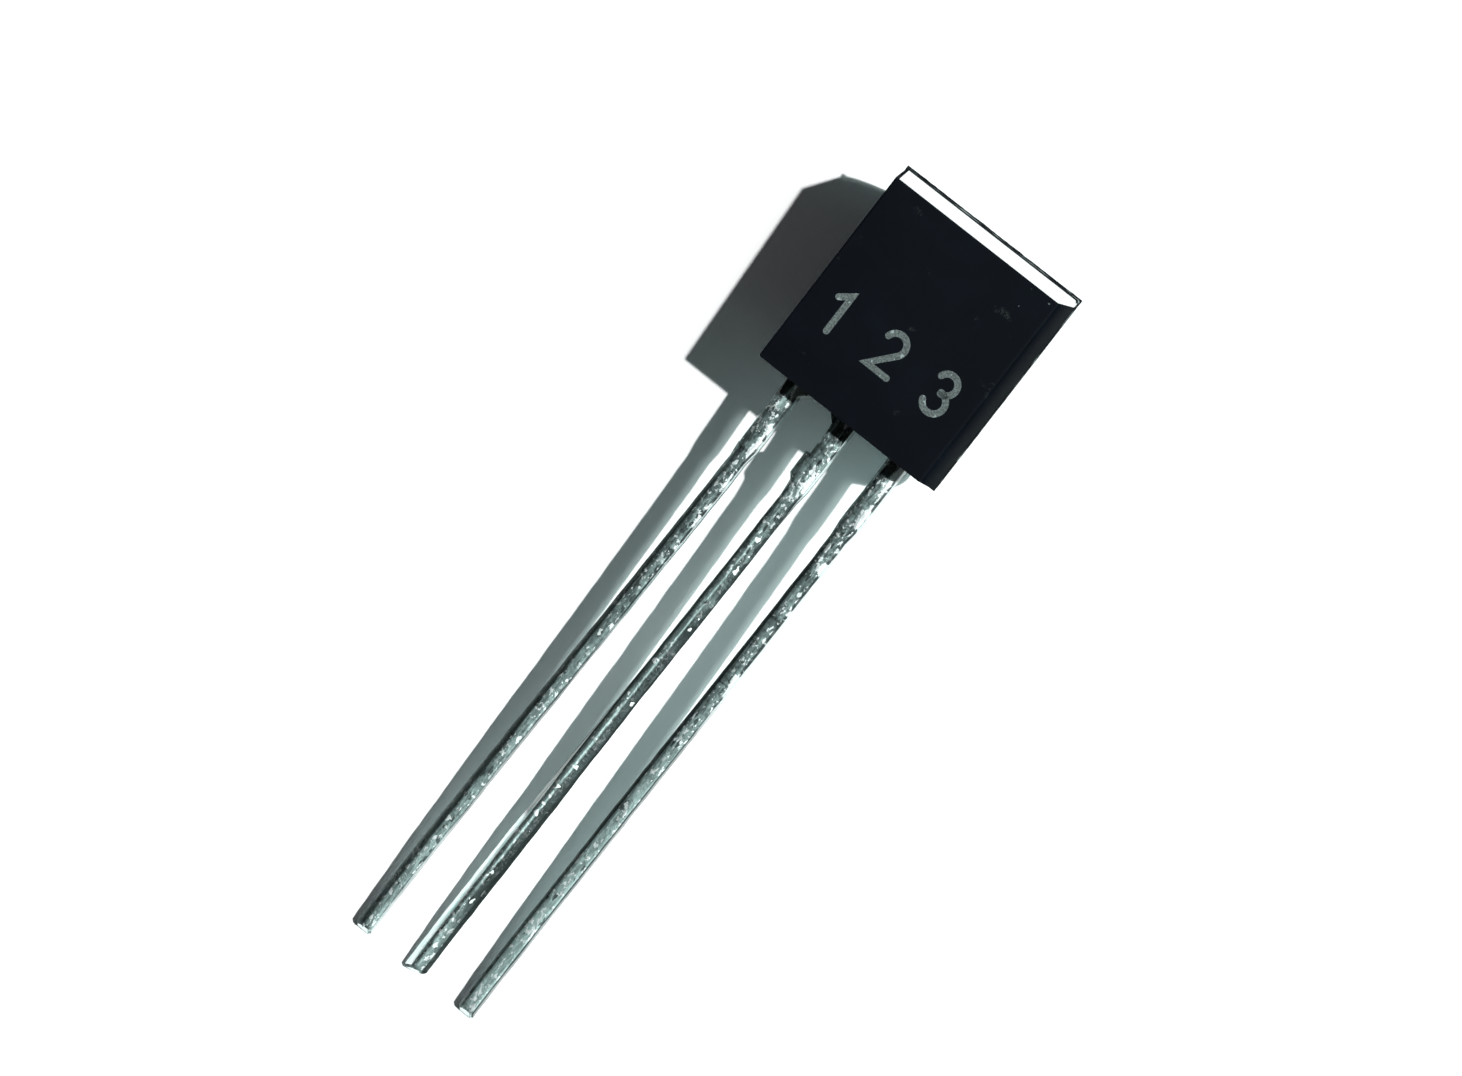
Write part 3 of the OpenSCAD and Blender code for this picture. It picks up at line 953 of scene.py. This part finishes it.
class TRANSISTOR_OT_case(bpy.types.Operator):
    """Mould the case with its flat, round back, flash and ejector mark"""
    bl_idname = "transistor.case"
    bl_label = "Case"

    def execute(self, context):
        case = context.scene.tr_case
        bm = round_case(cut_ejector_mark(shape_case(case), case), case)
        resins = [case_resin(), closed_end_resin()]
        piece = finish_piece("case_moulding", bm, resins, "moulded_case", PARTING_EDGE)
        paint_closed_end(piece, case)
        finish_piece("case_flash", shape_flash(case), [flash_resin()])
        return {"FINISHED"}


# Leads

# Inside the case, in millimetres: lugs, posts and the chip pad
LUG = {"half": 0.36, "low": 0.35, "high": 0.6}
POST_HALF = 0.4
BASE_POST = (0.87, 1.37)
EMITTER_POST = (1.64, 2.49)
PAD = {"left": -0.6, "right": 1.485, "low": 1.64, "high": 3.95}
LOCK_HOLE = {"x": 0.4425, "y": 3.38, "radius": 0.3}
SHOULDER = 0.2
# Outside it: the stub of the cut dam bar, the taper under the wide root and the cut corners of the tip
DAM = {"stub": 0.09, "foot": -1.555, "low": -1.445, "high": -0.945, "top": -0.925}
TAPER = 0.3
TIP_CUT = 0.05
# Edges of a lead that bend more than this are rounded, and the rolled ones lie this far left of its middle
LEAD_CORNER = math.radians(40)
ROLLED_SIDE = 0.1
# How much of a tip the shear's slant takes up, and the steps that a lead is cut into so that it can bend
TIP_LENGTH = 0.115
BEND_STEP = 0.12
# Handled leads wander sideways and ripple, from the first of these distances on and fully at the second
BEND_START = 0.3
BEND_FULL = 1.5
WANDER = 0.010
RIPPLE = 0.008
RIPPLE_UP = 0.007
# The twist comes in two stretches, each with its share, its start and its end
TWISTS = ((0.25, 1.2, 3.0), (0.75, 6.4, 11.4))


def half_outline(leads, top, shoulder=False, dam=False):
    """Corners up the right side of a lead, from its tip to the given top of its frame"""
    slim = leads.width / 2 * MM
    root = leads.root_width / 2 * MM
    tip = -leads.length * MM
    knee = -leads.root_length * MM
    points = [(slim - TIP_CUT, tip), (slim, tip + TIP_CUT), (slim, knee - TAPER)]
    if dam:
        stub = root + DAM["stub"]
        points += [(root, DAM["foot"]), (stub, DAM["low"]), (stub, DAM["high"]), (root, DAM["top"])]
    else:
        points.append((root, knee))
    if shoulder:
        points += [(root, -SHOULDER), (root + SHOULDER, 0), (root + SHOULDER, LUG["high"])]
    else:
        points += [(root, LUG["low"]), (LUG["half"], LUG["low"]), (LUG["half"], LUG["high"])]
    points.append((root, LUG["high"]))
    return points + top


def mirrored(points):
    """The same corners on the other side of X = 0, in the same turn"""
    return [(-x, y) for x, y in reversed(points)]


def post_corners(post, root):
    """Corners of a bond post on the right side"""
    return [(root, post[0]), (POST_HALF, post[0]), (POST_HALF, post[1])]


def lead_face(bm, name, leads):
    """The flat outline of one lead frame as faces"""
    root = leads.root_width / 2 * MM
    pitch = leads.pitch * MM
    if name == "emitter_lead":
        top = post_corners(EMITTER_POST, root)
        corners = half_outline(leads, top, shoulder=True) + mirrored(half_outline(leads, top))
        return [outline_face(bm, [(x - pitch, y) for x, y in corners])]
    if name == "base_lead":
        top = post_corners(BASE_POST, root)
        corners = half_outline(leads, top) + mirrored(half_outline(leads, top, shoulder=True, dam=True))
        return [outline_face(bm, corners)]
    right = half_outline(leads, [(PAD["right"] - pitch, PAD["high"])])
    left = mirrored(half_outline(leads, [(root, PAD["low"])]))
    pad = [(PAD["left"] - pitch, PAD["high"]), (PAD["left"] - pitch, PAD["low"])]
    face = outline_face(bm, [(x + pitch, y) for x, y in right + pad + left])
    rim = list(face.edges)
    bmesh.ops.delete(bm, geom=[face], context="FACES_ONLY")
    hole = bmesh.ops.create_circle(
        bm, segments=48, radius=LOCK_HOLE["radius"],
        matrix=Matrix.Translation((LOCK_HOLE["x"], LOCK_HOLE["y"], 0)))
    loop = {e for v in hole["verts"] for e in v.link_edges}
    bmesh.ops.triangle_fill(bm, use_beauty=True, use_dissolve=False, edges=rim + list(loop))
    return bm.faces[:]


def outer_edges(bm):
    """Sharp edges outside the case that run in the lead plane"""
    return [e for e in bm.edges
            if e.calc_face_angle(0) > LEAD_CORNER
            and max(v.co.y for v in e.verts) < LUG["low"] + LEVEL
            and abs(e.verts[0].co.z - e.verts[1].co.z) < LEVEL]


def is_rolled(edge, middle):
    """Whether an edge is on the side that the stamping tool rolls over: the upper left"""
    centre = (edge.verts[0].co + edge.verts[1].co) / 2
    return centre.z > 0 and centre.x < middle - ROLLED_SIDE and centre.y < -SHOULDER


def shape_lead(name, leads, middle, seed, roll_over, twist, bow):
    """Stamp one lead, round its edges, and bend it a little as handled leads are"""
    thick = leads.thickness * MM
    tip = -leads.length * MM
    bm = bmesh.new()
    raise_faces(bm, lead_face(bm, name, leads), thick)
    bmesh.ops.translate(bm, verts=bm.verts, vec=(0, 0, -thick / 2))
    rolled = [e for e in outer_edges(bm) if is_rolled(e, middle)]
    round_edges(bm, rolled, leads.rolled_radius * roll_over * MM, 5)
    plain = [e for e in outer_edges(bm) if not is_rolled(e, middle)]
    round_edges(bm, plain, leads.edge_radius * MM, 3)
    bm.normal_update()
    for face in bm.faces:
        sheared = abs(face.normal.x) > SQUARE_ON or min(face.normal.y, face.normal.z) < -SQUARE_ON
        if face.calc_center_median().y < 0 and sheared:
            face.material_index = 1
    for v in bm.verts:
        if v.co.y < tip + TIP_LENGTH:
            v.co.y += (v.co.z + thick / 2) * math.tan(leads.cut_slant)
    for i in range(1, int(-tip / BEND_STEP)):
        cut_through(bm, (0, tip + i * BEND_STEP, 0), (0, 1, 0))
    for v in bm.verts:
        if v.co.y <= -BEND_START:
            bend_point(v, leads, middle, seed, twist, bow)
    return bm


def bend_point(v, leads, middle, seed, twist, bow):
    """Move one point of a lead: wander, ripple and bow, then the twist about the lead's middle"""
    down = -v.co.y
    far = ramp(down, BEND_START, leads.length * MM)
    ease = ramp(down, BEND_START, BEND_FULL)
    wander = WANDER * noise.noise(Vector((seed, v.co.y * 0.9, 0)))
    ripple = Vector((v.co.x * 5, v.co.y * 3.5 + seed, v.co.z * 5))
    v.co.x += ease * (wander + RIPPLE * noise.noise(ripple)) + bow * far
    v.co.z += ease * RIPPLE_UP * noise.noise(ripple + Vector((0, 0, 9)))
    turn = twist * sum(share * ramp(down, start, end) for share, start, end in TWISTS)
    if turn:
        axis = Vector((middle + bow * far, v.co.y, 0))
        v.co = axis + Matrix.Rotation(turn, 3, "Y") @ (v.co - axis)


def keep_above_floor(bm):
    """Lift what dips under the floor, most at the tips"""
    place = rest_place()
    for v in bm.verts:
        low = (place @ v.co).z * MM
        if low < 0:
            v.co.z -= low


class TRANSISTOR_OT_leads(bpy.types.Operator):
    """Stamp the three leads with their shoulders, dam stub, lugs, posts and pad"""
    bl_idname = "transistor.leads"
    bl_label = "Leads"

    def execute(self, context):
        leads = context.scene.tr_leads
        finishes = [tinned_lead(), sheared_tin()]
        pitch = leads.pitch * MM
        sideways = leads.sideways * MM
        for name, middle, seed, roll_over, twist, bow in (
                ("emitter_lead", -pitch, 1.7, 1.8, 0.0, -1.35 * sideways),
                ("base_lead", 0.0, 5.2, 1.2, leads.tip_twist, -sideways),
                ("collector_lead", pitch, 9.4, 1.5, 0.0, -0.75 * sideways)):
            bm = shape_lead(name, leads, middle, seed, roll_over, twist, bow)
            keep_above_floor(bm)
            finish_piece(name.replace("_lead", "_tinned"), bm, finishes, name)
        return {"FINISHED"}


# Marks

# At a sharp corner a pen stroke's edge stands out by no more than its half width divided by this
CORNER_LIMIT = 0.45


def arc(middle, radius, start, end, steps=14):
    """Points along part of a circle, by angles in degrees"""
    turns = [math.radians(start + (end - start) * i / steps) for i in range(steps + 1)]
    return [Vector((middle[0] + radius * math.cos(t), middle[1] + radius * math.sin(t))) for t in turns]


def digit_strokes(digit):
    """Middle lines of a plain digit's strokes in a box one high, resting on Y = 0"""
    if digit == 1:
        return [[Vector((-0.2, 0.78)), Vector((0.04, 0.96)), Vector((0.04, 0.04))]]
    if digit == 2:
        bowl = arc((0, 0.72), 0.25, 165, -35)
        return [bowl + [Vector((-0.27, 0.04)), Vector((0.29, 0.04))]]
    return [arc((0, 0.73), 0.235, 160, -90), arc((0, 0.27), 0.255, 90, -160)]


def stroke_side(before, at, after, half):
    """From a point of a pen stroke's middle line to the stroke's left edge"""
    ahead = (at - before).normalized()
    onward = (after - at).normalized()
    along = (ahead + onward).normalized()
    squeeze = max(abs(along.dot(onward if after != at else ahead)), CORNER_LIMIT)
    return Vector((-along.y, along.x)) * (half / squeeze)


def stroke_cap(at, towards, half, steps=6):
    """Points round the end of a pen stroke"""
    first = math.atan2(towards.x, -towards.y)
    turns = [first - math.pi * i / steps for i in range(1, steps)]
    return [at + half * Vector((math.cos(turn), math.sin(turn))) for turn in turns]


def stroke_corners(line, half):
    """Outline of a pen stroke with round ends along a line"""
    sides = [stroke_side(*points, half) for points in zip(line[:1] + line, line, line[1:] + line[-1:])]
    left = [at + out for at, out in zip(line, sides)]
    right = [at - out for at, out in zip(line, sides)]
    far = stroke_cap(line[-1], line[-1] - line[-2], half)
    near = stroke_cap(line[0], line[0] - line[1], half)
    return left + far + right[::-1] + near


class TRANSISTOR_OT_marks(bpy.types.Operator):
    """Set plain pin numbers on the flat face, one over each lead"""
    bl_idname = "transistor.marks"
    bl_label = "Pin numbers"

    def execute(self, context):
        marks = context.scene.tr_marks
        flat = context.scene.tr_case.front_depth * MM
        pitch = context.scene.tr_leads.pitch * MM
        height = marks.height * MM
        relief = marks.relief * MM
        ink = mark_ink()
        for digit in (1, 2, 3):
            bm = bmesh.new()
            for line in digit_strokes(digit):
                outline_face(bm, stroke_corners([point * height for point in line], marks.stroke / 2 * MM))
            raise_faces(bm, bm.faces[:], relief * 2)
            place = ((digit - 2) * pitch, marks.rise * MM - height / 2, flat - relief)
            bmesh.ops.translate(bm, verts=bm.verts, vec=place)
            finish_piece("pin_number_%d" % digit, bm, [ink])
        return {"FINISHED"}


# Pieces inside the resin

class TRANSISTOR_OT_insides(bpy.types.Operator):
    """Finish the chip, its silver paste and the two bond wires"""
    bl_idname = "transistor.insides"
    bl_label = "Chip and wires"

    def execute(self, context):
        finishes = context.scene.tr_finishes
        gold = plain_metal("gold_wire", finishes.gold, rough=(0.18, 0.3), grain_scale=40.0, strength=0.1)
        made = {
            "chip": plain_metal(
                "silicon", finishes.silicon, rough=(0.08, 0.2), grain_scale=60.0, strength=0.05),
            "die_attach": plain_metal(
                "silver_paste", finishes.paste, rough=(0.45, 0.7), grain_scale=50.0, strength=0.6),
            "emitter_bond_wire": gold,
            "base_bond_wire": gold,
        }
        for node, material in made.items():
            for slot in frame["nodes"][node].material_slots:
                slot.material = material
        return {"FINISHED"}


# Stage

# Floor in metres: from its middle to its edges, and how far under the part it lies
FLOOR_REACH = 1.5
FLOOR_DROP = 0.000002
# How high the window stands beside the key, and how nearly a heading points at a light where it fades in
WINDOW_HEIGHT = 0.12
WINDOW_FADES = (0.7, 0.95)
SIDE_FADES = (0.85, 1.0)
# Tint of the dark room and its window
WINDOW_TINT = (0.8, 0.8, 0.8)


class TRANSISTOR_OT_camera(bpy.types.Operator):
    """Place the camera above the part"""
    bl_idname = "transistor.camera"
    bl_label = "Camera"

    def execute(self, context):
        stage = context.scene.tr_stage
        back = Vector((math.tan(stage.camera_side), -math.tan(stage.camera_fore), 1)).normalized()
        right = Vector((0, 1, 0)).cross(back).normalized()
        up = back.cross(right)
        turn = Matrix((right, up, back)).transposed().to_4x4() @ Matrix.Rotation(stage.camera_roll, 4, "Z")
        lens = bpy.data.cameras.new("camera")
        lens.lens = stage.camera_lens
        lens.clip_start = 0.001
        lens.clip_end = 10
        camera = bpy.data.objects.new("camera", lens)
        camera.matrix_world = Matrix.Translation(
            Vector(stage.camera_aim) + back * stage.camera_distance) @ turn
        context.scene.collection.objects.link(camera)
        context.scene.camera = camera
        return {"FINISHED"}


def glow(tree, strength, tint=(1.0, 1.0, 1.0)):
    """An even background light"""
    return add(tree, "ShaderNodeBackground", {"Color": colour(tint), "Strength": strength}).outputs[0]


def points_at(tree, heading, towards):
    """How nearly a heading points in a direction: 1 when it points straight there"""
    return add(tree, "ShaderNodeVectorMath", {
        0: heading, 1: towards.normalized()}, operation="DOT_PRODUCT").outputs["Value"]


def light_world(stage, fill_tint, side_tint):
    """Even soft light for matt surfaces, a dark room with one window for gloss, white for the camera"""
    world = bpy.data.worlds.new("studio")
    world.use_nodes = True
    tree = world.node_tree
    tree.nodes.clear()
    path = add(tree, "ShaderNodeLightPath").outputs
    heading = add(tree, "ShaderNodeTexCoord").outputs["Generated"]
    window = points_at(tree, heading, Vector((*stage.key_direction[:2], WINDOW_HEIGHT)))
    gloss = glow(tree, spread(tree, window, *WINDOW_FADES, stage.overhead, stage.window), WINDOW_TINT)
    side = points_at(tree, heading, Vector(stage.side_direction))
    from_side = glow(tree, spread(tree, side, *SIDE_FADES, 0.0, stage.side_strength), side_tint)
    even = glow(tree, stage.fill_strength, fill_tint)
    fill = add(tree, "ShaderNodeAddShader", {0: from_side, 1: even}).outputs[0]
    soft = add(tree, "ShaderNodeMixShader", {"Fac": path["Is Glossy Ray"], 1: fill, 2: gloss}).outputs[0]
    seen = add(tree, "ShaderNodeMixShader", {"Fac": path["Is Camera Ray"], 1: soft, 2: glow(tree, 1.0)})
    add(tree, "ShaderNodeOutputWorld", {"Surface": seen.outputs[0]})
    bpy.context.scene.world = world


def sun(name, towards, strength, softness, tint):
    """A far lamp in a given direction"""
    light = bpy.data.lights.new(name, "SUN")
    light.energy = strength
    light.angle = softness
    light.color = tint
    lamp = bpy.data.objects.new(name, light)
    lamp.rotation_euler = towards.to_track_quat("Z", "Y").to_euler()
    bpy.context.scene.collection.objects.link(lamp)


class TRANSISTOR_OT_stage(bpy.types.Operator):
    """Lay the pale floor and set the key light and the soft fill"""
    bl_idname = "transistor.stage"
    bl_label = "Stage"

    def execute(self, context):
        stage = context.scene.tr_stage
        finishes = context.scene.tr_finishes
        bm = bmesh.new()
        bmesh.ops.create_grid(bm, x_segments=1, y_segments=1, size=FLOOR_REACH)
        bmesh.ops.translate(bm, verts=bm.verts, vec=(0, 0, -FLOOR_DROP))
        mesh = bpy.data.meshes.new("floor")
        bm.to_mesh(mesh)
        bm.free()
        mesh.materials.append(floor_white())
        floor = bpy.data.objects.new("floor", mesh)
        context.scene.collection.objects.link(floor)
        towards = Vector(stage.key_direction)
        lower = Matrix.Rotation(stage.skirt_drop, 3, Vector((0, 0, 1)).cross(towards)) @ towards
        sun("key", towards, stage.key_strength, stage.key_softness, (1.0, 1.0, 1.0))
        sun("key_skirt", lower, stage.skirt_strength, stage.skirt_softness, finishes.skirt)
        light_world(stage, finishes.fill, finishes.side)
        context.scene.view_settings.view_transform = "Standard"
        return {"FINISHED"}


# Panel and registration

class TRANSISTOR_PT_panel(bpy.types.Panel):
    """Buttons and sizes of the transistor"""
    bl_label = "Transistor"
    bl_idname = "TRANSISTOR_PT_panel"
    bl_space_type = "VIEW_3D"
    bl_region_type = "UI"
    bl_category = "Transistor"

    def draw(self, context):
        for operator in OPERATORS:
            self.layout.operator(operator.bl_idname)
        for name, group in PROPERTY_GROUPS.items():
            box = self.layout.box()
            box.label(text=group.__doc__)
            for size in group.__annotations__:
                box.prop(getattr(context.scene, name), size)


OPERATORS = (
    TRANSISTOR_OT_camera,
    TRANSISTOR_OT_case,
    TRANSISTOR_OT_leads,
    TRANSISTOR_OT_marks,
    TRANSISTOR_OT_insides,
    TRANSISTOR_OT_stage,
)


def register():
    """Register the classes, and keep the sizes and colours with the scene"""
    for name, group in PROPERTY_GROUPS.items():
        bpy.utils.register_class(group)
        setattr(bpy.types.Scene, name, PointerProperty(type=group))
    for item in OPERATORS + (TRANSISTOR_PT_panel,):
        bpy.utils.register_class(item)


def unregister():
    """Undo what register does"""
    for item in reversed(OPERATORS + (TRANSISTOR_PT_panel,)):
        bpy.utils.unregister_class(item)
    for name, group in PROPERTY_GROUPS.items():
        delattr(bpy.types.Scene, name)
        bpy.utils.unregister_class(group)


def main():
    """Build every piece and the stage"""
    register()
    bpy.ops.transistor.camera()
    bpy.ops.transistor.case()
    bpy.ops.transistor.leads()
    bpy.ops.transistor.marks()
    bpy.ops.transistor.insides()
    bpy.ops.transistor.stage()


if __name__ == "__main__":
    main()
